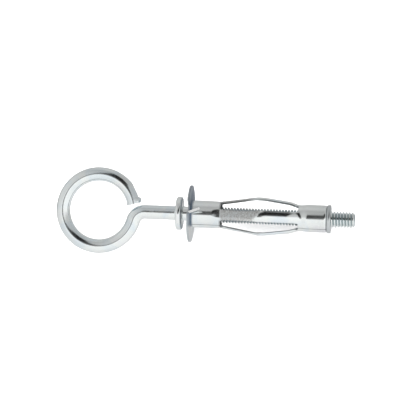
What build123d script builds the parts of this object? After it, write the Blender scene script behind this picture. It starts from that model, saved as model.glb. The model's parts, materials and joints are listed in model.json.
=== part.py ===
from build123d import *
import math
import os

# Hollow wall anchor with a ring hook, in millimetres.
# It is drawn about its own axis: +X runs from the ring to the threaded tip, X = 0 is the face of the
# flange that bears on the wall, +Y lies in the plane of the ring, and +Z is square to the ring.

# Ring hook: one length of wire, bent into a ring, upset into a collar and threaded.
WIRE_DIAMETER = 3.7
RING_INNER_DIAMETER = 15.4
RING_OPENING_ANGLE = 12.4  # from the axis up to the cut end of the wire
NECK_BEND_RADIUS = 2.4  # of the wire's centreline
NECK_LENGTH = 9.0  # straight wire between the bend and the collar
COLLAR_DIAMETER = 8.8
COLLAR_THICKNESS = 1.6
COLLAR_CHAMFER = 0.4
COLLAR_GAP = 1.86  # left between the collar and the flange before the hook is screwed home
THREAD_DIAMETER = 4.14  # over the crests of an 8-32 thread
THREAD_START = 4.0  # depth behind the wall face where the thread begins
TIP_PROJECTION = 6.25  # thread standing out of the nut
TIP_CHAMFER = 0.45

# Sleeve: one strip of sheet steel, flanged, slotted, rolled to a tube and spread at its legs.
SHEET = 0.6
TUBE_DIAMETER = 7.16
FLANGE_DIAMETER = 15.0
FLANGE_NECK_CHAMFER = 0.3  # where the tube turns out into the flange, on the wall side
FRONT_TUBE_LENGTH = 7.8
LEG_WIDTH = 3.0
LEG_SPAN = 20.4
BULGE_DIAMETER = 10.1
FRONT_KNEE = 0.451  # share of the legs' span, as for the next two
REAR_KNEE = 0.544
SHOULDER = 0.892
KNEE_RADIUS = 3.0
SHOULDER_DIAMETER = 8.3
SHOULDER_RADIUS = 4.0
SLOT_CORNER_RADIUS = 0.5
WAIST_DIAMETER = 6.8
WAIST_LENGTH = 3.3  # over which the tube opens again towards the nut
REAR_TUBE_LENGTH = 7.4
SEAM_WIDTH = 0.1
SEAM_ANGLE = 50.0  # from +Z towards -Y, between two legs

# Claws: corners of the flange, cut along one radius and bent up along another.
CLAW_SECTOR = 28.0
CLAW_ROOT_LAND = 0.4  # left whole between the neck and the cut
CLAW_BEND = 68.0
CLAW_BEND_RADIUS = 0.2

# Nut: round, pressed into the rear of the sleeve, with a rim that stops against the sleeve's end.
NUT_DEPTH = 4.1
NUT_RIM_DIAMETER = 7.45
NUT_RIM_THICKNESS = 1.05
NUT_RIM_CHAMFER = 0.25
NUT_LEAD_CHAMFER = 0.3
NUT_BORE_CHAMFER = 0.35
NUT_FIT = 0.03  # radial, in the sleeve
NUT_SEAT = 0.02  # between the rim and the sleeve's end
THREAD_CLEARANCE = 0.04  # radial, between the nut's bore and the thread's crests

LYING_ROLL = 18.3  # that brings a claw and the far corner of its gap down to the table together

QUARTER_TURNS = (0, 90, 180, 270)
HALF_TURNS = (0, 180)

wire_radius = WIRE_DIAMETER / 2
ring_radius = RING_INNER_DIAMETER / 2 + wire_radius
tube_radius = TUBE_DIAMETER / 2
thread_radius = THREAD_DIAMETER / 2

leg_start = FRONT_TUBE_LENGTH
leg_end = leg_start + LEG_SPAN
sleeve_end = leg_end + REAR_TUBE_LENGTH
nut_start = sleeve_end - NUT_DEPTH
nut_rim = sleeve_end + NUT_SEAT
nut_end = nut_rim + NUT_RIM_THICKNESS
tip = nut_end + TIP_PROJECTION
collar_face = -SHEET - COLLAR_GAP
collar_back = collar_face - COLLAR_THICKNESS
neck_bend = collar_back - NECK_LENGTH
# The neck's bend runs straight into the ring, which is centred on the axis, so their circles touch.
ring_centre = neck_bend - math.sqrt(ring_radius**2 + 2 * ring_radius * NECK_BEND_RADIUS)


def half_section(outer, inner=()):
    """Closed face in the XY plane from an outline of (x, radius) points down to a bore or the axis."""
    inner = list(inner) or [(outer[0][0], 0), (outer[-1][0], 0)]
    return make_face(Polyline(*outer, *reversed(inner), close=True))


def shank():
    """Straight wire with its upset collar and the plain cylinder that carries the thread."""
    collar_radius = COLLAR_DIAMETER / 2
    outline = [
        (neck_bend, wire_radius),
        (collar_back, wire_radius),
        (collar_back, collar_radius - COLLAR_CHAMFER),
        (collar_back + COLLAR_CHAMFER, collar_radius),
        (collar_face - COLLAR_CHAMFER, collar_radius),
        (collar_face, collar_radius - COLLAR_CHAMFER),
        (collar_face, wire_radius),
        (THREAD_START, wire_radius),
        (THREAD_START, thread_radius),
        (tip - TIP_CHAMFER, thread_radius),
        (tip, thread_radius - TIP_CHAMFER),
    ]
    return revolve(half_section(outline), Axis.X)


def ring():
    """Wire that leaves the shank in a tight bend and turns back into a ring centred on the axis."""
    meeting = -math.degrees(math.asin(NECK_BEND_RADIUS / (ring_radius + NECK_BEND_RADIUS)))
    bend = CenterArc((neck_bend, -NECK_BEND_RADIUS), NECK_BEND_RADIUS, 90, 90 + meeting)
    loop = CenterArc((ring_centre, 0), ring_radius, meeting, RING_OPENING_ANGLE - meeting - 360)
    section = Plane(origin=bend @ 0, z_dir=bend % 0) * Rot(0, 0, 180) * Circle(wire_radius)
    return sweep(section, path=Wire([bend, loop]))


def ring_hook():
    return shank() + ring()


def sheet_side(depth):
    """Curve along the rolled sheet from the flange's edge to the sleeve's end, depth below its outside."""
    radius = tube_radius - depth
    neck = FLANGE_NECK_CHAMFER + depth * (2 - math.sqrt(2))
    flange = Polyline(
        (-depth, FLANGE_DIAMETER / 2),
        (-depth, radius + neck),
        (neck - depth, radius),
        (leg_start, radius),
    )
    legs = FilletPolyline(
        (leg_start, radius),
        (leg_start + FRONT_KNEE * LEG_SPAN, BULGE_DIAMETER / 2 - depth),
        (leg_start + REAR_KNEE * LEG_SPAN, BULGE_DIAMETER / 2 - depth),
        (leg_start + SHOULDER * LEG_SPAN, SHOULDER_DIAMETER / 2 - depth),
        (leg_end, WAIST_DIAMETER / 2 - depth),
        radius=[KNEE_RADIUS, KNEE_RADIUS, SHOULDER_RADIUS],
    )
    rear = Polyline(
        (leg_end, WAIST_DIAMETER / 2 - depth),
        (leg_end + WAIST_LENGTH, radius),
        (sleeve_end, radius),
    )
    return flange + legs + rear


def rolled_blank():
    """Flange, two tubes and the spread legs between them, before the slots and the seam are cut."""
    outside = sheet_side(0)
    inside = sheet_side(SHEET)
    ends = [Line(outside @ 0, inside @ 0), Line(outside @ 1, inside @ 1)]
    return revolve(make_face([*outside.edges(), *inside.edges(), *ends]), Axis.X)


def slots():
    """Blocks that take away the wall between the legs, which keep one width over their whole length."""
    block = Box(LEG_SPAN, BULGE_DIAMETER, BULGE_DIAMETER, align=Align.MIN)
    block = fillet(block.edges().filter_by(Axis.Z).group_by(Axis.Y)[0], SLOT_CORNER_RADIUS)
    block = fillet(block.edges().filter_by(Axis.Y).group_by(Axis.Z)[0], SLOT_CORNER_RADIUS)
    block = Pos(leg_start, LEG_WIDTH / 2, LEG_WIDTH / 2) * block
    return [Rot(turn, 0, 0) * block for turn in QUARTER_TURNS]


def seam():
    """Narrow gap where the edges of the rolled strip meet, behind the flange."""
    length = sleeve_end - FLANGE_NECK_CHAMFER
    gap = Box(length, SEAM_WIDTH, TUBE_DIAMETER, align=(Align.MIN, Align.CENTER, Align.MIN))
    return Rot(SEAM_ANGLE, 0, 0) * Pos(FLANGE_NECK_CHAMFER, 0, 0) * gap


def claw_blank():
    """Corner of the flange that one claw is cut from, between +Z and a radius towards +Y."""
    slope = math.tan(math.radians(CLAW_SECTOR))
    root = tube_radius + FLANGE_NECK_CHAMFER + CLAW_ROOT_LAND
    edge = FLANGE_DIAMETER / 2
    outline = Polyline((0, root), (slope * root, root), (slope * edge, edge), (0, edge), close=True)
    return extrude(Plane.YZ * make_face(outline), SHEET, both=True)


def bent_claw(corner):
    """The corner of the flange, folded towards the wall about its edge on +Z."""
    fold = Axis((CLAW_BEND_RADIUS, 0, 0), (0, 0, 1))
    bend = revolve(corner.faces().sort_by(Axis.Y)[0], fold, -CLAW_BEND)
    taken_up = math.radians(CLAW_BEND) * (CLAW_BEND_RADIUS + SHEET / 2)
    flap = split(Pos(0, -taken_up, 0) * corner, Plane.XZ, keep=Keep.BOTTOM)
    return bend + flap.rotate(fold, -CLAW_BEND)


def sleeve():
    """Flanged and slotted sleeve with both claws bent out of its flange."""
    sheet = rolled_blank()
    corner = claw_blank()
    claw = bent_claw(sheet & corner)
    sheet = sheet - slots() - seam()
    for turn in HALF_TURNS:
        sheet = sheet - Rot(turn, 0, 0) * corner
    for turn in HALF_TURNS:
        sheet = sheet + Rot(turn, 0, 0) * claw
    return sheet


def nut():
    """Round nut with a rim; its thread is left as a bore that clears the hook's crests."""
    body_radius = tube_radius - SHEET - NUT_FIT
    rim_radius = NUT_RIM_DIAMETER / 2
    bore_radius = thread_radius + THREAD_CLEARANCE
    outer = [
        (nut_start, body_radius - NUT_LEAD_CHAMFER),
        (nut_start + NUT_LEAD_CHAMFER, body_radius),
        (nut_rim, body_radius),
        (nut_rim, rim_radius - NUT_RIM_CHAMFER),
        (nut_rim + NUT_RIM_CHAMFER, rim_radius),
        (nut_end - NUT_RIM_CHAMFER, rim_radius),
        (nut_end, rim_radius - NUT_RIM_CHAMFER),
    ]
    inner = [
        (nut_start, bore_radius + NUT_BORE_CHAMFER),
        (nut_start + NUT_BORE_CHAMFER, bore_radius),
        (nut_end - NUT_BORE_CHAMFER, bore_radius),
        (nut_end, bore_radius + NUT_BORE_CHAMFER),
    ]
    return revolve(half_section(outer, inner), Axis.X)


def lying():
    """Turn from the drawn position to how the anchor lies on a table, on a claw, its gap and the nut's rim."""
    corner_angle = math.radians(CLAW_SECTOR - LYING_ROLL)
    corner_drop = FLANGE_DIAMETER / 2 * math.cos(corner_angle)
    pitch = math.atan2(corner_drop - NUT_RIM_DIAMETER / 2, nut_end - NUT_RIM_CHAMFER)
    return Rot(0, math.degrees(pitch), 0) * Rot(LYING_ROLL, 0, 0)


os.makedirs("parts", exist_ok=True)
for name, piece in (("ring_hook", ring_hook()), ("sleeve", sleeve()), ("nut", nut())):
    export_step(lying() * piece, f"parts/{name}.step")
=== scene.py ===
import json
import math
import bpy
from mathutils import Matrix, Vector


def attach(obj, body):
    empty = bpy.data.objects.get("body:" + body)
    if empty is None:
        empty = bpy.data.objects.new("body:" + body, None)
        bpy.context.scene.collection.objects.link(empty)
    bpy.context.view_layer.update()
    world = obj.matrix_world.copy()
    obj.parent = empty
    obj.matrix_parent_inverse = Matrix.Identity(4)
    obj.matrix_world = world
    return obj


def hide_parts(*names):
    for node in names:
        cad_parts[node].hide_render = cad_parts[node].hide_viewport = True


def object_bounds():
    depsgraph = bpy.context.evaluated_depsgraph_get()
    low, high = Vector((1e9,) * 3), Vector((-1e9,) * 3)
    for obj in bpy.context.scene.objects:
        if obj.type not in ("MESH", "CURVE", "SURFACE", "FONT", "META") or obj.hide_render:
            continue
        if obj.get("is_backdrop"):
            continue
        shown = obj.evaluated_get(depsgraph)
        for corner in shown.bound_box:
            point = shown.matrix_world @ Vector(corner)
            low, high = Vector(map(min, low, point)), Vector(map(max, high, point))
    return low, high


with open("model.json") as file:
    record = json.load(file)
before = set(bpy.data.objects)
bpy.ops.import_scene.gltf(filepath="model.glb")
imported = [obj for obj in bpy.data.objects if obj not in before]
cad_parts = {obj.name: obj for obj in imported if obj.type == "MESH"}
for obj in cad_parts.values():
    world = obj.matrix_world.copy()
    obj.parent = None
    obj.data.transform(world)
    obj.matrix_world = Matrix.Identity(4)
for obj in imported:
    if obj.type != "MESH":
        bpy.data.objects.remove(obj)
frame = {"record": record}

from types import SimpleNamespace

import bmesh
import bpy
from bpy.props import FloatProperty, FloatVectorProperty, PointerProperty
from mathutils import Matrix, Vector

bl_info = {
    "name": "Hollow wall anchor with ring hook",
    "version": (1, 0, 0),
    "blender": (4, 5, 0),
    "location": "3D View > Sidebar > Wall anchor",
    "description": "Models and finishes a ring hook screw in its slotted and spread anchor sleeve",
    "category": "Add Mesh",
}

# The sizes below are real ones, in metres. Each piece is modelled in millimetres along the anchor's own
# axes, and anchor_frame() then lays it where the CAD model lies: X runs from the ring to the threaded
# tip, X = 0 is the wall side of the flange, Y lies in the plane of the ring and Z is square to it.

MM = 0.001
TURN = 2 * math.pi
AXIS = Vector((1, 0, 0))
SQUARE = Vector((0, 0, 1))
ROUND_STEPS = 96  # around the tube, a multiple of four so that edges fall on the axes
WIRE_STEPS = 64
THREAD_STEPS = 40
NEAR = 1e-3  # millimetres within which places count as the same
MERGE = 1e-4  # millimetres within which vertices become one
SHARP = math.radians(38)  # an edge where faces turn by more than this isn't shaded smooth
# Grains for every mark's colour, those that paint shade or a highlight too.
MARK_GRAINS = 3800.0  # grains of dulled plating in a metre
# How strong a mark is at each place where it isn't whole. The collar's, the sleeved thread's, the flange's,
# the slot ends' and the leg edge's set painted shade, and the lowest leg's sets painted light.
STRENGTH = SimpleNamespace(
    collar=0.62, thread_shade_in_sleeve=0.5, gripped_ring=0.2, low_flange=0.12, high_flange=0.95, lost_at_rim=0.25,
    slot_end=0.75, leg_edge=0.85, lowest_leg_painted_light=0.3, closed_tube=0.2, closed_grain=0.25, rolled_tube=0.08,
    nut_rim=0.9,
)


def number(name, default, description, least=0.0, **kind):
    return FloatProperty(name=name, description=description, default=default, min=least, **kind)


def length(name, default, description):
    """A length shown in the scene's unit."""
    return number(name, default, description, precision=5, unit="LENGTH")


def angle(name, degrees, description):
    return number(name, math.radians(degrees), description, least=-math.pi, subtype="ANGLE")


def share(name, default, description):
    return number(name, default, description, max=1.0, subtype="FACTOR")


def colour(name, default, description):
    return FloatVectorProperty(
        name=name, description=description, default=default, min=0.0, max=1.0, subtype="COLOR"
    )


class RingHookSizes(bpy.types.PropertyGroup):
    wire: length("Wire", 0.0037, "Diameter of the drawn wire")
    ring: length("Ring inside", 0.0154, "Clear diameter of the ring")
    opening: angle("Ring opening", 12.4, "From the axis up to the cropped end of the wire")
    neck_bend: length("Neck bend", 0.0031, "Radius of the wire's centreline where it leaves the shank")
    neck: length("Neck", 0.008442, "Straight wire between the bend and the collar")
    collar: length("Collar", 0.0088, "Diameter of the upset collar")
    collar_width: length("Collar width", 0.0016, "Thickness of the upset collar")
    collar_rounding: length("Collar rounding", 0.00055, "Radius of the collar's rim")
    collar_gap: length("Collar gap", 0.00186, "Left between the collar and the flange")
    crest: length("Thread crest", 0.00412, "Diameter over the thread's crests")
    root: length("Thread root", 0.00314, "Diameter at the thread's roots")
    pitch: length("Thread pitch", 0.00079375, "Advance in one turn")
    crest_flat: length("Crest flat", 0.0003, "Width of the thread's crest")
    flank: length("Flank", 0.0002, "Length of a flank along the axis")
    thread_start: length("Thread start", 0.004, "Depth behind the wall face where the thread begins")
    tip: length("Tip", 0.00625, "Thread that stands out of the nut")
    tip_chamfer: length("Tip chamfer", 0.00045, "Size of the chamfer at the tip")
    burr: length("Burr", 0.00028, "Lip that cropping raises on the outside of the wire")
    squeeze: length("Squeeze", 0.0003, "Flat that cropping leaves behind the lip")
    cropped: length("Cropped length", 0.005, "Length of wire that cropping marks")


class SleeveSizes(bpy.types.PropertyGroup):
    sheet: length("Sheet", 0.0006, "Thickness of the sheet steel")
    tube: length("Tube", 0.00716, "Outside diameter of the rolled tube")
    flange: length("Flange", 0.015, "Diameter of the flange")
    flange_bend: length("Flange bend", 0.0003, "Inside radius of the bend to the flange")
    front: length("Front tube", 0.0078, "Unslotted tube behind the flange")
    leg_width: length("Leg width", 0.003, "Width of each of the four legs")
    leg_span: length("Leg span", 0.0204, "Length of the legs along the axis")
    bulge: length("Bulge", 0.0101, "Largest diameter over the legs")
    front_knee: share("Front knee", 0.451, "Where the legs stop rising, as a share of their span")
    rear_knee: share("Rear knee", 0.544, "Where the legs start to fall, as a share of their span")
    shoulder: share("Shoulder", 0.892, "Where the legs turn in, as a share of their span")
    shoulder_size: length("Shoulder size", 0.0083, "Diameter over the legs at the shoulder")
    knee_rounding: length("Knee rounding", 0.0008, "Length taken by the bend at each knee")
    slot_corner: length("Slot corner", 0.0003, "Radius in the corners of the slots")
    waist: length("Waist", 0.0068, "Diameter where the legs join the rear tube")
    waist_rounding: length("Waist rounding", 0.0006, "Length taken by the bend at the waist")
    rear: length("Rear tube", 0.0074, "Tube behind the legs")
    seam: length("Seam", 0.00014, "Gap where the rolled sheet's edges meet")
    seam_angle: angle("Seam angle", 50.0, "From the front leg round to the seam")
    pressed_width: length("Pressed width", 0.00267, "Width of the legs' front halves, pressed flat")
    leg_curl: length("Leg curl", 0.0001, "How far the rear halves' edges turn in")
    rollover: length("Rollover", 0.0003, "Radius that shearing leaves on the legs' edges")
    facet_edge: length("Facet edge", 0.00076, "From a leg's middle to its facet's edge")
    facet_lead: length("Facet lead", 0.0028, "Front tube over which the facets begin")
    end_rounding: length("End rounding", 0.0004, "Radius of the rear tube's outer edge")
    claw_sector: angle("Claw sector", 28.0, "Part of the flange that each claw is cut from")
    claw_land: length("Claw land", 0.0004, "Flange left whole between its bend and a claw")
    claw_bend: angle("Claw bend", 68.0, "How far each claw is folded towards the wall")
    claw_bend_radius: length("Claw bend radius", 0.0002, "Inside radius of the claws' fold")


class NutSizes(bpy.types.PropertyGroup):
    depth: length("Depth", 0.0041, "Length pressed into the sleeve")
    rim: length("Rim", 0.00745, "Diameter of the rim")
    rim_width: length("Rim width", 0.00105, "Thickness of the rim")
    rim_rounding: length("Rim rounding", 0.00032, "Radius of the rim's edges")
    lead: length("Lead chamfer", 0.0003, "Chamfer that starts it into the sleeve")
    mouth: length("Thread mouth", 0.00035, "Countersink at each end of the thread")
    fit: length("Fit", 0.00003, "Radial gap in the sleeve")
    seat: length("Seat", 0.00002, "Gap between the rim and the sleeve's end")
    clearance: length("Thread clearance", 0.00004, "Radial gap over the screw's crests")


# Plating colours, and the colours of painted shade and a painted highlight.
class ZincFinishAndPaintedLight(bpy.types.PropertyGroup):
    plating: colour("Plating", (0.80, 0.83, 0.82), "Bright zinc")
    blue_film: colour("Blue film", (0.72, 0.78, 0.81), "Where the clear passivate looks blue")
    violet_film: colour("Violet film", (0.775, 0.785, 0.815), "Where it looks violet")
    roughness: share("Roughness", 0.1, "Roughness of the brightest plating")
    haze: share("Haze", 0.12, "Roughness added where the plating is duller")
    # Painted shade: this colour stands in for the shade down in the thread's roots.
    groove_shade: colour("Groove", (0.52, 0.59, 0.6), "Plating down in the thread's grooves")
    sheared: colour("Sheared edges", (0.5, 0.53, 0.54), "Thin plating on sheared edges")
    # Painted shade: this colour darkens the collar's face towards the sleeve, the thread's grooves inside the
    # sleeve and the corner by the flange, and paints a dark reflection on the flange's upper part.
    corner: colour("Corners", (0.1, 0.145, 0.21), "Thin plating by the flange and on the collar")
    # Painted highlight: near-white colour on the claws' cut edges.
    claw_edge_highlight: colour("Highlighted edges", (0.97, 0.98, 0.98), "The claws' cut edges, rubbed bright")
    # Painted shade: this colour darkens the slots' front ends and the front leg's upper edge.
    shaded: colour("Shaded edges", (0.09, 0.09, 0.09), "Dark zinc in the slots' ends and on a leg's edge")
    pressed: colour("Pressed grain", (0.40, 0.40, 0.39), "Coarse grain of the pressed facets")
    film_size: length("Film size", 0.007, "Size of the film's patches")
    grain_size: length("Grain size", 0.00022, "Size of the plating's grain")
    worked_depth: number("Worked depth", 18.0, "Times that the grain is deepened where dies gripped")


class StudioSettings(bpy.types.PropertyGroup):
    floor_colour: colour("Floor", (0.95, 0.95, 0.95), "Colour of the pale floor")
    backdrop: colour("Backdrop", (1.0, 1.0, 1.0), "What lights the floor and stands behind it")
    floor_size: length("Floor size", 1.6, "Width of the floor")
    view_width: length("View width", 0.1053, "Width that the camera takes in")
    lens: number("Lens", 200.0, "Focal length in millimetres", least=20.0)
    side_turn: angle("Side turn", 6.5, "Camera's turn towards the tip")
    roll: angle("Roll", 2.25, "Fall of the anchor's axis to the right")
    key_power: number("Key power", 8.0, "Power of the large front light")
    fill_power: number("Fill power", 6.5, "Power of the rear light")
    tent_power: number("Tent power", 1.15, "Brightness of the light tent")


def setting_names(group):
    return [name for name in group.bl_rna.properties.keys() if name not in ("rna_type", "name")]


def millimetres(group):
    """The group's values by name, with its lengths in millimetres."""
    values = {name: getattr(group, name) for name in setting_names(group)}
    for name in values:
        if group.bl_rna.properties[name].unit == "LENGTH":
            values[name] /= MM
    return SimpleNamespace(**values)


def anchor_turn():
    """Rotation from the anchor's own axes to the shared frame, from the mounts in the part's record."""
    mounts = {mount["name"]: mount for mount in frame["record"]["mounts"]}
    along = Vector(mounts["wall_face"]["axis"]).normalized()
    square = Vector(mounts["ring_eye"]["axis"])
    square = (square - square.dot(along) * along).normalized()
    return Matrix((along, square.cross(along), square)).transposed()


def anchor_frame():
    """Matrix from the anchor's own axes in millimetres to the shared frame in metres."""
    return anchor_turn().to_4x4() @ Matrix.Scale(MM, 4)


def measures(context):
    """Sizes of the three pieces in millimetres, and places along the axis that more than one needs."""
    hook = millimetres(context.scene.ring_hook_sizes)
    sleeve = millimetres(context.scene.sleeve_sizes)
    nut = millimetres(context.scene.nut_sizes)
    at = SimpleNamespace()
    at.collar_face = -sleeve.sheet - hook.collar_gap
    at.collar_back = at.collar_face - hook.collar_width
    at.bend = at.collar_back - hook.neck
    at.ring_radius = (hook.ring + hook.wire) / 2
    at.ring = at.bend - math.sqrt(at.ring_radius**2 + 2 * at.ring_radius * hook.neck_bend)
    at.legs = sleeve.front
    at.front_knee = at.legs + sleeve.front_knee * sleeve.leg_span
    at.rear_knee = at.legs + sleeve.rear_knee * sleeve.leg_span
    at.shoulder = at.legs + sleeve.shoulder * sleeve.leg_span
    at.waist = at.legs + sleeve.leg_span
    at.sleeve_end = at.waist + sleeve.rear
    at.nut = at.sleeve_end - nut.depth
    at.rim = at.sleeve_end + nut.seat
    at.nut_end = at.rim + nut.rim_width
    at.tip = at.nut_end + hook.tip
    return hook, sleeve, nut, at


# Mesh tools shared by the pieces.


def profile(bm, points, closed=False):
    """Draws a line through (x, radius) points above the anchor's axis."""
    verts = [bm.verts.new((x, 0, radius)) for x, radius in points]
    pairs = list(zip(verts, verts[1:])) + ([(verts[-1], verts[0])] if closed else [])
    return verts + [bm.edges.new(pair) for pair in pairs]


def lathe(bm, points, steps, closed=False):
    """Turns such a line once round the anchor's axis."""
    line = profile(bm, points, closed)
    bmesh.ops.spin(bm, geom=line, axis=AXIS, angle=TURN, steps=steps, use_merge=True)


def circle_at(bm, x, radius):
    """Edges of the circle at that place and radius."""

    def on(vert):
        return abs(vert.co.x - x) < MERGE and abs(vert.co.yz.length - radius) < MERGE

    return [edge for edge in bm.edges if all(on(vert) for vert in edge.verts)]


def round_over(bm, edges, width, segments):
    bmesh.ops.bevel(
        bm, geom=edges, offset=width, offset_type="OFFSET", affect="EDGES",
        segments=segments, profile=0.5, material=-1, clamp_overlap=True,
    )


def cut(bm, point, normal, faces=None, keep="both"):
    """Cuts along a plane. keep="ahead" drops what is behind the plane, and "behind" what is ahead of it."""
    faces = bm.faces[:] if faces is None else faces
    edges = {edge for face in faces for edge in face.edges}
    verts = {vert for face in faces for vert in face.verts}
    bmesh.ops.bisect_plane(
        bm, geom=[*faces, *edges, *verts], dist=MERGE, plane_co=point, plane_no=normal,
        clear_inner=keep == "ahead", clear_outer=keep == "behind",
    )


def open_edges_at(bm, x):
    return [e for e in bm.edges if e.is_boundary and all(abs(v.co.x - x) < NEAR for v in e.verts)]


def faces_where(bm, rule):
    """Faces whose centre the rule accepts."""
    return [face for face in bm.faces if rule(face.calc_center_median())]


def close_up(bm):
    """Merges doubles, then turns every face outwards."""
    bmesh.ops.remove_doubles(bm, verts=bm.verts[:], dist=MERGE)
    bmesh.ops.recalc_face_normals(bm, faces=bm.faces[:])


def mark(bm, name, rule):
    """Stores how strongly an effect shows at each vertex, by a rule of its place."""
    layer = bm.verts.layers.float.new(name)
    for vert in bm.verts:
        vert[layer] = rule(vert.co)


def smooth(value, start, end):
    """Eased step from 0 at start to 1 at end."""
    step = min(max((value - start) / (end - start), 0.0), 1.0)
    return step * step * (3 - 2 * step)


def plateau(value, start, whole, fading, end):
    """Eased step up to 1 between start and whole, and down to 0 again between fading and end."""
    return smooth(value, start, whole) * smooth(value, end, fading)


def add_object(context, name, data):
    made = bpy.data.objects.new(name, data)
    context.scene.collection.objects.link(made)
    return made


def add_mesh(context, bm, name, material):
    mesh = bpy.data.meshes.new(name)
    bm.to_mesh(mesh)
    bm.free()
    mesh.materials.append(material)
    return add_object(context, name, mesh)


def place_piece(context, bm, name, body, node, material):
    """Makes the piece an object where the CAD model has it, riding on its body in place of its node."""
    bmesh.ops.transform(bm, matrix=anchor_frame(), verts=bm.verts[:])
    for face in bm.faces:
        face.smooth = True
    for edge in bm.edges:
        edge.smooth = not edge.is_manifold or edge.calc_face_angle(0) < SHARP
    piece = add_mesh(context, bm, name, material)
    piece.modifiers.new("Even shading", "WEIGHTED_NORMAL").keep_sharp = True
    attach(piece, body)
    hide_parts(node)


# Materials.


VALUE, VECTOR, COLOUR = "NodeSocketFloat", "NodeSocketVector", "NodeSocketColor"


def feed(tree, node, inputs):
    """Links each named input to the socket given for it, or sets it to the value given."""
    for name, given in inputs.items():
        if isinstance(given, bpy.types.NodeSocket):
            tree.links.new(given, node.inputs[name])
        else:
            node.inputs[name].default_value = given


def new_node(tree, kind, inputs, **settings):
    """Adds a node with those settings, fed with those sockets and values."""
    node = tree.nodes.new(kind)
    for name, value in settings.items():
        setattr(node, name, value)
    feed(tree, node, inputs)
    return node


def new_material(name):
    material = bpy.data.materials.new(name)
    material.use_nodes = True
    return material, material.node_tree


def computed(tree, operation, *values):
    return new_node(tree, "ShaderNodeMath", dict(enumerate(values)), operation=operation).outputs["Value"]


def mixed(tree, factor, one, other, kind="RGBA", blend="MIX"):
    inputs = {"Factor": factor, "A": one, "B": other}
    return new_node(tree, "ShaderNodeMix", inputs, data_type=kind, blend_type=blend).outputs["Result"]


def eased(tree, value, low, high):
    """From 0 where the value is low to 1 where it is high."""
    inputs = {"Value": value, "From Min": low, "From Max": high}
    return new_node(tree, "ShaderNodeMapRange", inputs, interpolation_type="SMOOTHSTEP").outputs["Result"]


def noise(tree, place, scale, **inputs):
    return new_node(tree, "ShaderNodeTexNoise", {"Vector": place, "Scale": scale, **inputs}).outputs["Fac"]


def bump(tree, height, depth, **inputs):
    inputs = {"Height": height, "Distance": depth, "Strength": 1.0, **inputs}
    return new_node(tree, "ShaderNodeBump", inputs).outputs["Normal"]


def shared_group(name, inputs, outputs, wire_up):
    """The node group of that name, which is made with those sockets and wired up when first asked for."""
    if name not in bpy.data.node_groups:
        group = bpy.data.node_groups.new(name, "ShaderNodeTree")
        for way, sockets in (("INPUT", inputs), ("OUTPUT", outputs)):
            for label, kind in sockets.items():
                group.interface.new_socket(name=label, in_out=way, socket_type=kind)
        given = group.nodes.new("NodeGroupInput").outputs
        feed(group, group.nodes.new("NodeGroupOutput"), wire_up(group, given))
    return bpy.data.node_groups[name]


def plating_group():
    """Clear-passivated bright zinc: drifting film colours, duller patches and a fine crystalline grain."""
    inputs = {"Vector": VECTOR, "Plating": COLOUR, "Blue film": COLOUR, "Violet film": COLOUR}
    inputs |= {"Film scale": VALUE, "Grain scale": VALUE, "Roughness": VALUE, "Haze": VALUE}

    def wire_up(group, given):
        film = noise(group, given["Vector"], given["Film scale"], Detail=3.0, Distortion=0.8)
        grain = noise(group, given["Vector"], given["Grain scale"], Detail=2.0)
        tint = mixed(group, eased(group, film, 0.42, 0.68), given["Plating"], given["Blue film"])
        tint = mixed(group, eased(group, film, 0.45, 0.25), tint, given["Violet film"])
        fleck = computed(group, "MULTIPLY", film, grain)
        rough = computed(group, "MULTIPLY_ADD", fleck, given["Haze"], given["Roughness"])
        return {"Color": tint, "Roughness": rough, "Height": grain}

    outputs = {"Color": COLOUR, "Roughness": VALUE, "Height": VALUE}
    return shared_group("Zinc plating", inputs, outputs, wire_up)


def drawing_lines_group():
    """Lines that drawing, rolling or turning leaves: noise pulled out along two of the piece's axes."""
    inputs = {"Vector": VECTOR, "Stretch": VECTOR, "Scale": VALUE}

    def wire_up(group, given):
        factors = {0: given["Vector"], 1: given["Stretch"]}
        pulled = new_node(group, "ShaderNodeVectorMath", factors, operation="MULTIPLY").outputs["Vector"]
        return {"Height": noise(group, pulled, given["Scale"], Detail=4.0, Roughness=0.6)}

    return shared_group("Drawing lines", inputs, {"Height": VALUE}, wire_up)


def dulling_and_painted_light_group():
    """Plating that turns to a mark's colour where a mark on the surface says so, evenly or in grains: a
    duller colour for real marks, painted shade or a painted highlight for the others.
    """
    inputs = {"Color": COLOUR, "Roughness": VALUE, "Mark": VALUE, "Vector": VECTOR, "Dull color": COLOUR}
    inputs |= {"Dull roughness": VALUE, "Grain scale": VALUE, "Graininess": VALUE}

    def wire_up(group, given):
        grain = noise(group, given["Vector"], given["Grain scale"], Detail=1.0)
        spread = mixed(group, given["Graininess"], 1.0, eased(group, grain, 0.4, 0.6), "FLOAT")
        amount = computed(group, "MULTIPLY", spread, given["Mark"])
        mark_colour = mixed(group, amount, given["Color"], given["Dull color"])
        rough = mixed(group, given["Mark"], given["Roughness"], given["Dull roughness"], "FLOAT")
        return {"Color": mark_colour, "Roughness": rough}

    return shared_group("Dulled plating", inputs, {"Color": COLOUR, "Roughness": VALUE}, wire_up)


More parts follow.
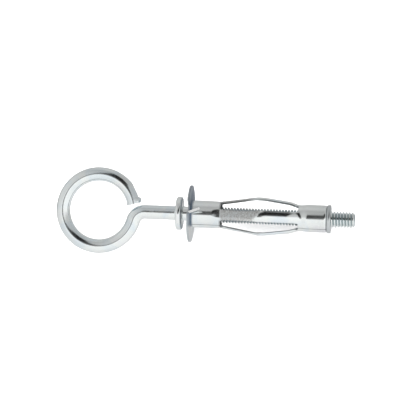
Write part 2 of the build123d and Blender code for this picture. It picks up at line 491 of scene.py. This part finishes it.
def zinc_material(context, name, stretch, lines, grain_depth, line_depth, marks):
    """Bright zinc over steel with drawn-out lines, and marks, some of which paint shade or a highlight. A
    mark is its colour's name, graininess and roughness.
    """
    finish_and_painted_light = context.scene.zinc_finish
    material, tree = new_material(name)

    def effect(group, inputs):
        return new_node(tree, "ShaderNodeGroup", {"Vector": place, **inputs}, node_tree=group).outputs

    def mark_of(label):
        return new_node(tree, "ShaderNodeAttribute", {}, attribute_name=label).outputs["Fac"]

    given = {"Vector": new_node(tree, "ShaderNodeTexCoord", {}).outputs["Object"]}
    given["Rotation"] = anchor_turn().inverted().to_euler()
    place = new_node(tree, "ShaderNodeMapping", given).outputs["Vector"]
    plating = effect(plating_group(), {
        "Plating": (*finish_and_painted_light.plating, 1), "Blue film": (*finish_and_painted_light.blue_film, 1),
        "Violet film": (*finish_and_painted_light.violet_film, 1), "Film scale": 1 / finish_and_painted_light.film_size,
        "Grain scale": 1 / finish_and_painted_light.grain_size, "Roughness": finish_and_painted_light.roughness, "Haze": finish_and_painted_light.haze,
    })
    drawn = effect(drawing_lines_group(), {"Stretch": stretch, "Scale": lines})
    finished = plating
    for mark, graininess, roughness in marks:
        finished = effect(dulling_and_painted_light_group(), {
            "Color": finished["Color"], "Roughness": finished["Roughness"], "Mark": mark_of(mark),
            "Dull color": (*getattr(finish_and_painted_light, mark), 1), "Dull roughness": roughness,
            "Grain scale": MARK_GRAINS, "Graininess": graininess,
        })
    deeper = computed(tree, "MULTIPLY_ADD", mark_of("worked"), finish_and_painted_light.worked_depth, 1.0)
    normal = bump(tree, computed(tree, "MULTIPLY", plating["Height"], deeper), grain_depth)
    normal = bump(tree, drawn["Height"], line_depth, Normal=normal)
    inputs = {"Metallic": 1.0, "Base Color": finished["Color"], "Roughness": finished["Roughness"]}
    feed(tree, tree.nodes["Principled BSDF"], inputs | {"Normal": normal})
    return material


# The ring hook.

# Millimetres behind the collar where the wire has rings of points, so that what the dies left can fade.
GRIP_RINGS = (7.0, 6.5, 6.0, 4.0, 2.0, 0.6)


def thread(bm, hook, at):
    """Right-handed thread from its start in the tube to the chamfered tip, open where the shank joins it."""
    crest, root = hook.crest / 2, hook.root / 2
    flank, flat = hook.flank, hook.crest_flat
    start = hook.thread_start - hook.pitch
    turns = math.ceil((at.tip - start) / hook.pitch) + 1
    tooth = [(0, root), (flank, crest), (flank + flat, crest), (2 * flank + flat, root), (hook.pitch, root)]
    line = profile(bm, [(start + x, radius) for x, radius in tooth])
    bmesh.ops.spin(
        bm, geom=line, axis=AXIS, angle=TURN * turns, steps=THREAD_STEPS * turns,
        dvec=AXIS * hook.pitch / THREAD_STEPS,
    )
    bmesh.ops.remove_doubles(bm, verts=bm.verts[:], dist=NEAR)
    cut(bm, (hook.thread_start, 0, 0), AXIS, keep="ahead")
    cut(bm, (at.tip - hook.tip_chamfer, 0, 0), AXIS)
    cut(bm, (at.tip, 0, 0), AXIS, keep="behind")
    for vert in bm.verts:
        limit = crest - max(0.0, vert.co.x - at.tip + hook.tip_chamfer)
        radius = vert.co.yz.length
        if radius > limit:
            vert.co.yz *= limit / radius
    bmesh.ops.contextual_create(bm, geom=open_edges_at(bm, at.tip))


def shank(bm, hook, at):
    """Wire from the neck's bend to the thread, with the collar upset on it."""
    wire, collar = hook.wire / 2, hook.collar / 2
    run_out, root_fillet = 0.6, 0.15
    end = hook.thread_start - run_out
    gripped = [(at.collar_back - back, wire) for back in GRIP_RINGS]
    points = [
        (at.bend, wire), *gripped, (at.collar_back, wire), (at.collar_back, collar),
        (at.collar_face, collar), (at.collar_face, wire), (end, wire),
    ]
    lathe(bm, points, WIRE_STEPS)
    for x in (at.collar_back, at.collar_face):
        round_over(bm, circle_at(bm, x, collar), hook.collar_rounding, 5)
        round_over(bm, circle_at(bm, x, wire), root_fillet, 3)
    bmesh.ops.bridge_loops(bm, edges=open_edges_at(bm, end) + open_edges_at(bm, hook.thread_start))


def ring(bm, hook, at):
    """Wire that leaves the shank in a tight bend and turns back into the open ring."""
    radius = at.ring_radius
    meeting = math.asin(hook.neck_bend / (radius + hook.neck_bend))
    loop = open_edges_at(bm, at.bend)
    verts = list({vert for edge in loop for vert in edge.verts})
    turned = bmesh.ops.spin(
        bm, geom=verts + loop, cent=(at.bend, -hook.neck_bend, 0), axis=SQUARE,
        angle=math.pi / 2 - meeting, steps=14,
    )
    cropped = hook.cropped / radius
    for turn, steps in ((hook.opening + meeting + cropped - TURN, 126), (-cropped, 50)):
        turned = bmesh.ops.spin(
            bm, geom=turned["geom_last"], cent=(at.ring, 0, 0), axis=SQUARE, angle=turn, steps=steps,
        )
    end = [item for item in turned["geom_last"] if isinstance(item, bmesh.types.BMEdge)]
    cap = bmesh.ops.contextual_create(bm, geom=end)["faces"]
    for _ in range(3):
        bmesh.ops.inset_region(bm, faces=cap, thickness=hook.wire / 9, use_even_offset=True)
    crop_end(bm, hook, Vector((at.ring, 0, 0)), radius)


def crop_end(bm, hook, centre, radius):
    """Squeezes the wire behind its cropped end, draws its outside into a lip and hollows the end face."""
    half = hook.wire / 2
    lip_begins, lip_whole, lip_drops, inside_drawn = 1.45, 0.95, 0.5, 0.7  # behind the cropped end
    drop, draw, hollow, slant = 0.8 * hook.burr, 0.12, 0.45, 0.16
    for vert in bm.verts:
        arm = vert.co - centre
        arm.z = 0
        behind = (math.atan2(arm.y, arm.x) - hook.opening) * radius
        if not (-0.1 < behind < hook.cropped and abs(arm.length - radius) < hook.wire):
            continue
        outward = arm.normalized()
        side = (arm.length - radius) / half
        if side > 0:
            flat = smooth(behind, hook.cropped, 0.6 * hook.cropped) * hook.squeeze
            lip = smooth(behind, lip_begins, lip_whole) * (hook.squeeze + hook.burr)
            lip -= smooth(behind, lip_drops, 0.0) * drop
            vert.co += outward * (lip - flat) * side * side
        else:
            vert.co += outward * smooth(behind, inside_drawn, 0.0) * draw * side
        if behind < 0.02:
            along = Vector((-outward.y, outward.x, 0))
            across = min(math.hypot(side, vert.co.z / half), 1.0)
            vert.co += along * (hollow * (1 - across**2) - slant * max(-side, 0.0))


def collar_shade_mark(place, hook, at):
    """Painted shade, strongest on the collar's face towards the sleeve, fading over its rounded rim."""
    if place.yz.length < hook.wire / 2 + 0.2 or place.x > at.collar_face + 0.1:
        return 0.0
    rim = at.collar_face - 0.7 * hook.collar_rounding
    return STRENGTH.collar * smooth(place.x, rim, at.collar_face - 0.05)


def groove_shade_mark(place, hook):
    """From nothing at the thread's crests to whole at its roots, where painted shade darkens the grooves."""
    if place.x < hook.thread_start:
        return 0.0
    return smooth(place.yz.length, hook.crest / 2, hook.root / 2)


def thread_shade_mark(place, hook, at):
    """Painted shade in the thread's grooves inside the sleeve, where the legs shade them."""
    fade = 1.0
    inside = plateau(place.x, at.legs - fade, at.legs, at.waist, at.waist + fade)
    return STRENGTH.thread_shade_in_sleeve * inside * groove_shade_mark(place, hook)


def worked_mark(place, at):
    """Deepest where the heading dies gripped the neck, and slight round the ring."""
    if place.x < at.bend:
        return STRENGTH.gripped_ring
    rings = [at.collar_back - back for back in GRIP_RINGS]
    return plateau(place.x, rings[0], rings[2], rings[-1], at.collar_back)


class ANCHOR_OT_ring_hook(bpy.types.Operator):
    """Model the ring hook: the ring, the neck, the collar and the threaded shank from one wire"""

    bl_idname = "anchor.ring_hook"
    bl_label = "Ring hook"

    def execute(self, context):
        hook, _, _, at = measures(context)
        bm = bmesh.new()
        thread(bm, hook, at)
        shank(bm, hook, at)
        ring(bm, hook, at)
        close_up(bm)
        # The first mark paints shade into the thread's roots.
        mark(bm, "groove_shade", lambda co: groove_shade_mark(co, hook))
        # The corner mark paints shade on the collar's face towards the sleeve and in the thread's grooves
        # inside the sleeve.
        mark(bm, "corner", lambda co: collar_shade_mark(co, hook, at) + thread_shade_mark(co, hook, at))
        mark(bm, "worked", lambda co: worked_mark(co, at))
        material = zinc_material(
            context, "Zinc on drawn wire", stretch=(0.06, 1, 1), lines=2500, grain_depth=8e-7,
            line_depth=1e-6, marks=[("groove_shade", 0.1, 0.3), ("corner", 0.1, 0.45)],
        )
        place_piece(context, bm, "ring_hook_wire", "hook", "ring_hook", material)
        return {"FINISHED"}


# The sleeve.

# Millimetres behind the flange where the tube has rings of points, for the marks that change there.
CORNER_FADES, ROLLED = 0.5, 0.8
# Millimetres from the flange's edge to its rings of points, and from the legs' ends to theirs.
FLANGE_RINGS, LEG_RINGS = (0, 0.4, 1.0, 1.7, 2.5), (0.35, 0.8)
EDGE_LINES = (0.1, 0.3, 0.65, 1.05)  # shares of the rollover, from a leg's edge to the lines along it
# How far the pressed part's end, and that of its grain, lean back for each millimetre across a leg.
PRESSED_SLANT, GRAIN_SLANT = 0.6, 0.8


def sheet_outline(sleeve, at):
    """Outside of the rolled sheet as (x, radius) points, from the flange's edge to the sleeve's end."""
    tube, bend, waist = sleeve.tube / 2, sleeve.flange_bend, sleeve.waist / 2
    flange = [(0, sleeve.flange / 2 - inside) for inside in FLANGE_RINGS]
    turn = [math.radians(step) for step in (0, 22.5, 45, 67.5, 90)]
    corner = [(bend - bend * math.cos(a), tube + bend - bend * math.sin(a)) for a in turn]
    front = [(CORNER_FADES, tube), (ROLLED, tube), (at.legs, tube)]
    line = [front[-1], (at.front_knee, sleeve.bulge / 2), (at.rear_knee, sleeve.bulge / 2)]
    line += [(at.shoulder, sleeve.shoulder_size / 2), (at.waist, waist), (at.waist + 1, waist)]
    corners = [Vector(point) for point in line]
    reaches = [sleeve.knee_rounding] * 3 + [sleeve.waist_rounding]
    legs = []
    for before, here, after, reach in zip(corners, corners[1:], corners[2:], reaches):
        legs += eased_corner(before, here, after, reach)
    steps, stride = 9, 0.2
    rear = []
    for step in range(1, steps + 1):
        opened = smooth(step, 0, steps) * (tube - waist)
        rear.append((at.waist + sleeve.waist_rounding + step * stride, waist + opened))
    rear += [(at.sleeve_end - 2 * sleeve.end_rounding, tube), (at.sleeve_end, tube)]
    return [*flange, *corner, *front, *legs, *rear]


def eased_corner(before, here, after, reach):
    """Points of a curve that leaves the line reach before a corner and joins the next line reach after it."""
    start = here + (before - here).normalized() * reach
    end = here + (after - here).normalized() * reach
    shares = (0, 0.25, 0.5, 0.75, 1)
    return [start * (1 - t) ** 2 + here * 2 * t * (1 - t) + end * t**2 for t in shares]


def roll_sheet(bm, sleeve, at):
    """Turns the sheet's outline round the axis and its faces outwards."""
    lathe(bm, sheet_outline(sleeve, at), ROUND_STEPS)
    close_up(bm)
    last = max(bm.faces, key=lambda face: face.calc_center_median().x)
    if last.normal.dot(last.calc_center_median() * Vector((0, 1, 1))) < 0:
        bmesh.ops.reverse_faces(bm, faces=bm.faces[:])


def cut_slots(bm, sleeve, at):
    """Takes away the wall between the legs and rounds the corners that are left."""
    half = sleeve.leg_width / 2
    for side in (-half, half):
        cut(bm, (0, side, 0), (0, 1, 0))
        cut(bm, (0, 0, side), (0, 0, 1))
    cut(bm, (at.waist, 0, 0), AXIS)
    gone = faces_where(bm, lambda co: min(abs(co.y), abs(co.z)) > half and at.legs < co.x < at.waist)
    bmesh.ops.delete(bm, geom=gone, context="FACES")
    corner = sleeve.slot_corner
    for end, way in ((at.legs, 1), (at.waist, -1)):
        for vert in {v for e in open_edges_at(bm, end) for v in e.verts}:
            off = min(abs(vert.co.y), abs(vert.co.z)) - half
            if off < corner:
                vert.co.x += way * (corner - math.sqrt(corner**2 - (corner - max(off, 0)) ** 2))


def leg_axes(place):
    """Directions out of and across the leg that is nearest to a place."""
    if abs(place.z) >= abs(place.y):
        out = Vector((0, 0, math.copysign(1, place.z)))
    else:
        out = Vector((0, math.copysign(1, place.y), 0))
    return out, out.cross(AXIS)


def leg_faces(bm, at, upright):
    """Outer faces of the two legs above and below the axis, or of the two in front and behind."""
    return faces_where(bm, lambda co: at.legs < co.x < at.waist and (abs(co.y) > abs(co.z)) == upright)


def ready_edges(bm, sleeve, at):
    """Cuts lines along the legs' edges and stores how deep shearing has rolled each place over."""
    half, rollover = sleeve.leg_width / 2, sleeve.rollover
    places = [at.legs - sleeve.facet_lead * (1 - step / 6) for step in range(1, 6)]
    for inside in LEG_RINGS:
        places += [at.legs + inside, at.waist - inside]
    for place in places:
        cut(bm, (place, 0, 0), AXIS)
    for inside in EDGE_LINES:
        off = half - inside * rollover
        for side in (-off, off):
            cut(bm, (0, side, 0), (0, 1, 0), leg_faces(bm, at, False))
            cut(bm, (0, 0, side), (0, 0, 1), leg_faces(bm, at, True))
    depth = bm.verts.layers.float.new("rolled over")
    for vert in bm.verts:
        left = rollover - (half - abs(vert.co.dot(leg_axes(vert.co)[1])))
        if 0 < left < rollover + NEAR and at.legs - NEAR < vert.co.x < at.waist + NEAR:
            rolled = rollover - math.sqrt(max(rollover**2 - left**2, 0.0))
            along = min(vert.co.x - at.legs, at.waist - vert.co.x) - sleeve.slot_corner
            vert[depth] = rolled * smooth(along, 0.05, 0.6)


def press_legs(bm, sleeve, at):
    """Presses the legs' front halves flat and narrower, and curls the edges of their rear halves in."""
    half, facet_edge, knee = sleeve.leg_width / 2, sleeve.facet_edge, at.front_knee
    narrowing = sleeve.pressed_width / sleeve.leg_width - 1
    for vert in bm.verts:
        x = vert.co.x
        out, side = leg_axes(vert.co)
        height, across = vert.co.dot(out), vert.co.dot(side)
        if abs(across) > half + NEAR and x > at.legs:
            continue
        # Each of these fades out within about a millimetre of the knee.
        pressed = smooth(x, at.legs - sleeve.facet_lead, at.legs)
        pressed *= smooth(x - PRESSED_SLANT * across, knee + 0.4, knee - 0.2)
        drawn_in = plateau(x, at.legs, at.legs + 0.9, knee - 0.3, knee + 0.5)
        curled = plateau(x, knee - 0.3, knee + 1.0, at.waist - 2.0, at.waist)
        radius = math.hypot(height, across)
        if pressed and -facet_edge < across <= half + NEAR:
            low = math.sqrt(radius**2 - half**2)
            high = math.sqrt(radius**2 - facet_edge**2)
            facet = low + (half - across) * (high - low) / (half + facet_edge)
            vert.co += out * (facet - height) * pressed
        vert.co -= out * curled * sleeve.leg_curl * (across / half) ** 2
        vert.co += side * across * narrowing * drawn_in


def cut_seam(bm, sleeve):
    """Opens the narrow gap where the rolled sheet's edges meet."""
    turn, half = sleeve.seam_angle, sleeve.seam / 2
    out = Vector((0, -math.sin(turn), math.cos(turn)))
    across = Vector((0, math.cos(turn), math.sin(turn)))

    def seam_faces(reach):
        """Faces behind the flange's bend, within reach of the seam's middle."""

        def on_seam(co):
            return co.dot(out) > 0 and abs(co.dot(across)) < reach and co.x > sleeve.flange_bend

        return faces_where(bm, on_seam)

    for edge in (half, -half):
        cut(bm, across * edge, across, seam_faces(1))
    bmesh.ops.delete(bm, geom=seam_faces(half), context="FACES")


def fold_claw(bm, sleeve, side):
    """Cuts a corner of the flange free, above the axis or below it, and folds it towards the wall."""
    root = sleeve.tube / 2 + sleeve.flange_bend + sleeve.claw_land
    sector, radius = sleeve.claw_sector, sleeve.claw_bend_radius
    taken_up = sleeve.claw_bend * (radius + sleeve.sheet / 2)

    def flange_faces(above):
        return faces_where(bm, lambda co: abs(co.x) < NEAR and co.z * side > above)

    def claw_faces():
        """Faces between the claw's fold, its cut and the land at its root."""
        slope = math.tan(sector)
        return faces_where(
            bm, lambda co: abs(co.x) < NEAR and co.z * side > root and 0 < co.y * side < co.z * side * slope
        )

    cut(bm, (0, 0, side * root), (0, 0, 1), flange_faces(0))
    cut(bm, (0, 0, 0), (0, 1, 0), flange_faces(root))
    cut(bm, (0, 0, 0), (0, math.cos(sector), -math.sin(sector)), flange_faces(root))
    for step in (1, 2, 3, 4):
        cut(bm, (0, side * taken_up * step / 4, 0), (0, 1, 0), claw_faces())
    claw = set(claw_faces())
    loose = []
    for edge in {edge for face in claw for edge in face.edges}:
        middle = (edge.verts[0].co + edge.verts[1].co) / 2
        if middle.y * side > NEAR and not claw.issuperset(edge.link_faces):
            loose.append(edge)
    bmesh.ops.split_edges(bm, edges=loose)
    for vert in {vert for face in claw_faces() for vert in face.verts}:
        away = vert.co.y * side
        turn = sleeve.claw_bend * min(away / taken_up, 1.0)
        beyond = max(away - taken_up, 0.0)
        vert.co.x = radius - radius * math.cos(turn) + beyond * math.sin(turn)
        vert.co.y = side * (radius * math.sin(turn) + beyond * math.cos(turn))


def thicken(bm, sleeve, at):
    """Gives the sheet its thickness, rolls the legs' edges over and marks what was cut through, with a
    painted highlight on the claws' cut edges.
    """
    skin = set(bm.verts)
    bmesh.ops.solidify(bm, geom=bm.faces[:], thickness=sleeve.sheet)
    depth = bm.verts.layers.float["rolled over"]
    for vert in skin:
        vert.co -= leg_axes(vert.co)[0] * vert[depth]
    sheared = bm.faces.layers.float.new("sheared")
    claw_edge_highlight = bm.faces.layers.float.new("claw_edge_highlight")
    for face in bm.faces:
        centre = face.calc_center_median()
        on_claw = 0.1 < centre.x < at.legs and centre.yz.length > sleeve.tube / 2 + 0.2
        cut_through = 0 < sum(vert in skin for vert in face.verts) < len(face.verts)
        face[claw_edge_highlight if on_claw else sheared] = float(cut_through)


def corner_shade_mark(place, sleeve):
    """Painted shade, strongest in the corner between the tube and the flange and faint on the flange's lower
    part; its strength on the upper part paints a dark reflection there.
    """
    if place.x < -0.05:
        return 0.0
    low, high = STRENGTH.low_flange, STRENGTH.high_flange
    below, above = -3.8, -2.8
    amount = low + (high - low) * smooth(place.y, below, above)
    outwards = smooth(place.yz.length, sleeve.tube / 2 + 1.3, sleeve.flange / 2)
    rim_fade = 1 - STRENGTH.lost_at_rim * outwards
    return amount * rim_fade * smooth(place.x, CORNER_FADES + 0.1, 0.15)


def slot_shade_mark(place, sleeve, at):
    """Painted shade, strong in the slots' front ends, and along the front leg's upper edge behind the knees.
    """
    half, rollover = sleeve.leg_width / 2, sleeve.rollover
    if place.x < at.legs + 0.1:
        between = smooth(min(abs(place.y), abs(place.z)), half - 0.1, half + 0.1)
        return STRENGTH.slot_end * between * smooth(place.x, at.legs - 0.47, at.legs)
    if place.z < abs(place.y):
        return 0.0
    along = plateau(place.x, at.rear_knee - 0.2, at.rear_knee + 0.6, at.shoulder - 0.2, at.shoulder + 0.6)
    return STRENGTH.leg_edge * along * smooth(place.y, half - rollover, half - EDGE_LINES[2] * rollover)


def closed_mark(place, at):
    """How far the rear tube was closed on the nut, with tools that left its outside rougher."""
    start = at.waist + 2.2
    end = at.sleeve_end - 0.6
    return plateau(place.x, start, start + 0.8, end, end + 0.3)


def pressed_mark(place, at):
    """Whole over the legs' front halves, ending aslant at the knee, and faint elsewhere; weaker on the lowest
    leg, which paints that leg lighter.
    """
    across = place.dot(leg_axes(place)[1])
    whole = smooth(place.x, at.legs - 0.2, at.legs + 0.3)
    whole *= smooth(place.x - GRAIN_SLANT * across, at.front_knee + 0.4, at.front_knee - 0.1)
    # Painted light: the grain's darkening is kept weak on the lowest leg, so that it shows lighter.
    if place.y < -abs(place.z):
        whole *= STRENGTH.lowest_leg_painted_light
    rolled = plateau(place.x, ROLLED, ROLLED + 0.1, at.legs - 0.2, at.legs)
    return max(whole, STRENGTH.closed_tube * closed_mark(place, at), STRENGTH.rolled_tube * rolled)


class ANCHOR_OT_sleeve(bpy.types.Operator):
    """Model the sleeve: one rolled sheet with its flange, claws, spread legs and rear tube"""

    bl_idname = "anchor.sleeve"
    bl_label = "Sleeve"

    def execute(self, context):
        _, sleeve, _, at = measures(context)
        bm = bmesh.new()
        roll_sheet(bm, sleeve, at)
        cut_slots(bm, sleeve, at)
        ready_edges(bm, sleeve, at)
        press_legs(bm, sleeve, at)
        cut_seam(bm, sleeve)
        for side in (1, -1):
            fold_claw(bm, sleeve, side)
        thicken(bm, sleeve, at)
        round_over(bm, circle_at(bm, at.sleeve_end, sleeve.tube / 2), sleeve.end_rounding, 4)
        mark(bm, "pressed", lambda co: pressed_mark(co, at))
        # The corner mark paints shade by the flange and a dark reflection on the flange's upper part.
        mark(bm, "corner", lambda co: corner_shade_mark(co, sleeve))
        # The shaded mark paints shade in the slots' ends and on the front leg's edge.
        mark(bm, "shaded", lambda co: slot_shade_mark(co, sleeve, at))
        mark(bm, "worked", lambda co: STRENGTH.closed_grain * closed_mark(co, at))
        marks = [("sheared", 0.1, 0.3), ("corner", 0.1, 0.5), ("pressed", 0.5, 0.3)]
        # The last mark paints a highlight on the claws' cut edges.
        marks += [("shaded", 0.1, 0.5), ("claw_edge_highlight", 0.0, 0.5)]
        material = zinc_material(
            context, "Zinc on rolled sheet", stretch=(0.08, 1, 1), lines=1800, grain_depth=8e-7,
            line_depth=1e-6, marks=marks,
        )
        place_piece(context, bm, "anchor_sleeve", "sleeve", "sleeve", material)
        return {"FINISHED"}


# The nut.


class ANCHOR_OT_nut(bpy.types.Operator):
    """Model the round nut pressed into the sleeve's end"""

    bl_idname = "anchor.nut"
    bl_label = "Nut"

    def execute(self, context):
        hook, sleeve, nut, at = measures(context)
        body = sleeve.tube / 2 - sleeve.sheet - nut.fit
        rim, bore = nut.rim / 2, hook.crest / 2 + nut.clearance
        points = [
            (at.nut, body - nut.lead), (at.nut + nut.lead, body), (at.rim, body),
            (at.rim, rim), (at.nut_end, rim), (at.nut_end, bore + nut.mouth),
            (at.nut_end - nut.mouth, bore), (at.nut + nut.mouth, bore), (at.nut, bore + nut.mouth),
        ]
        bm = bmesh.new()
        lathe(bm, points, ROUND_STEPS, closed=True)
        close_up(bm)
        for x in (at.rim, at.nut_end):
            round_over(bm, circle_at(bm, x, rim), nut.rim_rounding, 4)
        mouth_rounding = 0.06
        round_over(bm, circle_at(bm, at.nut_end, bore + nut.mouth), mouth_rounding, 2)
        # Darkens and dulls the rim's outer edge with the sheared edges' colour.
        mark(bm, "sheared", lambda co: STRENGTH.nut_rim * smooth(co.yz.length, rim - 0.5, rim - 0.1))
        material = zinc_material(
            context, "Zinc on turned steel", stretch=(1, 0.05, 0.05), lines=2500, grain_depth=1e-6,
            line_depth=2e-6, marks=[("sheared", 0.1, 0.3)],
        )
        place_piece(context, bm, "anchor_nut", "nut", "nut", material)
        return {"FINISHED"}


# The stage.

LOOKED_AT = Vector((2.0, 3.7, 0))  # millimetres, on the anchor's own axes
PANEL_DISTANCE = 0.8
# Cards of the camera's dark stand, each by its degrees to the right, degrees above and half width.
DARK_STAND = ((-11.5, 2.5, 7.5), (-4, 16.5, 11.5), (4, 27, 12), (14, 39, 13))
CARD_BLUR = 0.15  # of a card's half width, inside and outside its edge


def view_axes(studio):
    """The picture's right and up and the way back to the camera, in the shared frame."""
    up = Vector((0, 1, 0))
    back = Vector((math.sin(studio.side_turn), 0, math.cos(studio.side_turn)))
    level = up.cross(back)
    right = level * math.cos(studio.roll) + up * math.sin(studio.roll)
    above = up * math.cos(studio.roll) - level * math.sin(studio.roll)
    turn = anchor_turn()
    return turn @ right, turn @ above, turn @ back


def add_camera(context, studio):
    """Long lens at the catalogue view's angle, centred beside the sleeve."""
    right, up, back = view_axes(studio)
    data = bpy.data.cameras.new("Camera")
    data.lens = studio.lens
    data.clip_end = 100
    distance = studio.view_width * studio.lens / data.sensor_width
    camera = add_object(context, "Camera", data)
    turn = Matrix((right, up, back)).transposed().to_4x4()
    camera.matrix_world = Matrix.Translation(anchor_frame() @ LOOKED_AT + back * distance) @ turn
    context.scene.camera = camera


def add_floor(context, studio, height):
    """Pale floor with a faint drift in its tone, which the metal doesn't mirror."""
    bm = bmesh.new()
    bmesh.ops.create_grid(bm, x_segments=1, y_segments=1, size=studio.floor_size / 2)
    bmesh.ops.translate(bm, vec=(0, 0, height), verts=bm.verts[:])
    material, tree = new_material("Pale floor")
    light = (*studio.floor_colour, 1)
    darker = (*[value * 0.985 for value in studio.floor_colour], 1)
    drift = new_node(tree, "ShaderNodeTexNoise", {"Scale": 3.0}).outputs["Fac"]
    inputs = {"Base Color": mixed(tree, drift, light, darker), "Roughness": 0.9, "Specular IOR Level": 0.0}
    feed(tree, tree.nodes["Principled BSDF"], inputs)
    floor = add_mesh(context, bm, "Floor", material)
    floor.visible_glossy = False
    floor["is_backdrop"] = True


def add_panel_light(context, name, direction, size, power):
    """Rectangular soft light that faces the anchor."""
    data = bpy.data.lights.new(name, "AREA")
    data.shape = "RECTANGLE"
    data.size, data.size_y = size
    data.energy = power
    light = add_object(context, name, data)
    light.location = direction.normalized() * PANEL_DISTANCE
    light.rotation_euler = direction.to_track_quat("Z", "Y").to_euler()
    light.visible_glossy = False


def tone_across(tree, direction, tones):
    """Grey that depends on how far a ray leans towards a direction, from (lean, grey) pairs."""
    ray = new_node(tree, "ShaderNodeTexCoord", {}).outputs["Generated"]
    lean = new_node(tree, "ShaderNodeVectorMath", {0: ray, 1: direction}, operation="DOT_PRODUCT")
    place = new_node(tree, "ShaderNodeMapRange", {"Value": lean.outputs["Value"], "From Min": -1.0})
    ramp = new_node(tree, "ShaderNodeValToRGB", {"Fac": place.outputs["Result"]})
    stops = ramp.color_ramp.elements
    while len(stops) < len(tones):
        stops.new(1.0)
    for stop, (position, grey) in zip(stops, tones):
        stop.position = (position + 1) / 2
        stop.color = (grey, grey, grey, 1)
    return ramp.outputs["Color"]


def add_surroundings(context, studio):
    """Light tent as the metal mirrors it: white below, grey above, and the camera's dark stand."""
    right, up, back = view_axes(studio)
    world = bpy.data.worlds.new("Light tent")
    world.use_nodes = True
    tree = world.node_tree
    front = tone_across(tree, up, [
        (-1.0, 0.82), (-0.9, 0.9), (-0.06, 1.0), (0.02, 0.96),
        (0.2, 0.55), (0.5, 0.50), (0.9, 0.42), (1.0, 0.58),
    ])
    rear = tone_across(tree, up, [
        (-1.0, 0.76), (-0.4, 0.7), (-0.05, 0.58), (0.05, 0.44), (0.4, 0.52), (0.8, 0.5), (1.0, 0.62),
    ])
    sides = tone_across(tree, right, [(-1.0, 0.9), (-0.75, 0.75), (-0.3, 0.1), (-0.15, 0.0), (1.0, 0.0)])
    front = mixed(tree, sides, front, (0.72, 0.72, 0.72, 1))
    turned = tone_across(tree, back, [(-1.0, 1.0), (-0.6, 1.0), (0.0, 0.0), (1.0, 0.0)])
    shade = mixed(tree, turned, front, rear)
    for card in DARK_STAND:
        sideways, above, width = (math.radians(value) for value in card)
        towards = (back + right * math.tan(sideways) + up * math.tan(above)).normalized()
        inner, outer = math.cos(width * (1 - CARD_BLUR)), math.cos(width * (1 + CARD_BLUR))
        stand = tone_across(tree, towards, [(-1.0, 1.0), (outer, 1.0), (inner, 0.1), (1.0, 0.05)])
        shade = mixed(tree, 1.0, shade, stand, blend="MULTIPLY")
    mirrored = new_node(tree, "ShaderNodeLightPath", {}).outputs["Is Glossy Ray"]
    seen = mixed(tree, mirrored, (*studio.backdrop, 1), shade)
    feed(tree, tree.nodes["Background"], {"Color": seen, "Strength": studio.tent_power})
    context.scene.world = world


class ANCHOR_OT_stage(bpy.types.Operator):
    """Set the anchor on a pale floor under soft studio light"""

    bl_idname = "anchor.stage"
    bl_label = "Stage"

    def execute(self, context):
        studio = context.scene.studio_settings
        floor_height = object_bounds()[0][2]
        right, up, back = view_axes(studio)
        context.scene.view_settings.view_transform = "Standard"
        add_camera(context, studio)
        add_floor(context, studio, floor_height)
        add_panel_light(context, "Key", back - up * 0.5, (1.0, 0.8), studio.key_power)
        add_panel_light(context, "Fill", back + up * 0.9 - right * 0.4, (0.9, 0.7), studio.fill_power)
        add_surroundings(context, studio)
        return {"FINISHED"}


class ANCHOR_PT_pieces(bpy.types.Panel):
    """Lists the anchor's pieces and its stage"""

    bl_idname = "ANCHOR_PT_pieces"
    bl_label = "Wall anchor"
    bl_space_type = "VIEW_3D"
    bl_region_type = "UI"
    bl_category = "Wall anchor"

    def draw(self, context):
        for operator in OPERATORS:
            self.layout.operator(operator.bl_idname)
        for group in SETTINGS:
            box = self.layout.box()
            box.label(text=group.replace("_", " ").capitalize())
            settings = getattr(context.scene, group)
            for name in setting_names(settings):
                box.prop(settings, name)


SETTINGS = {
    "ring_hook_sizes": RingHookSizes,
    "sleeve_sizes": SleeveSizes,
    "nut_sizes": NutSizes,
    "zinc_finish": ZincFinishAndPaintedLight,
    "studio_settings": StudioSettings,
}
OPERATORS = (ANCHOR_OT_ring_hook, ANCHOR_OT_sleeve, ANCHOR_OT_nut, ANCHOR_OT_stage)


def register():
    for group in SETTINGS.values():
        bpy.utils.register_class(group)
    for name, group in SETTINGS.items():
        setattr(bpy.types.Scene, name, PointerProperty(type=group))
    for operator in OPERATORS:
        bpy.utils.register_class(operator)
    bpy.utils.register_class(ANCHOR_PT_pieces)


def unregister():
    bpy.utils.unregister_class(ANCHOR_PT_pieces)
    for operator in reversed(OPERATORS):
        bpy.utils.unregister_class(operator)
    for name in SETTINGS:
        delattr(bpy.types.Scene, name)
    for group in reversed(list(SETTINGS.values())):
        bpy.utils.unregister_class(group)


def main():
    register()
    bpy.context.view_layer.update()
    bpy.ops.anchor.ring_hook()
    bpy.ops.anchor.sleeve()
    bpy.ops.anchor.nut()
    bpy.ops.anchor.stage()


if __name__ == "__main__":
    main()
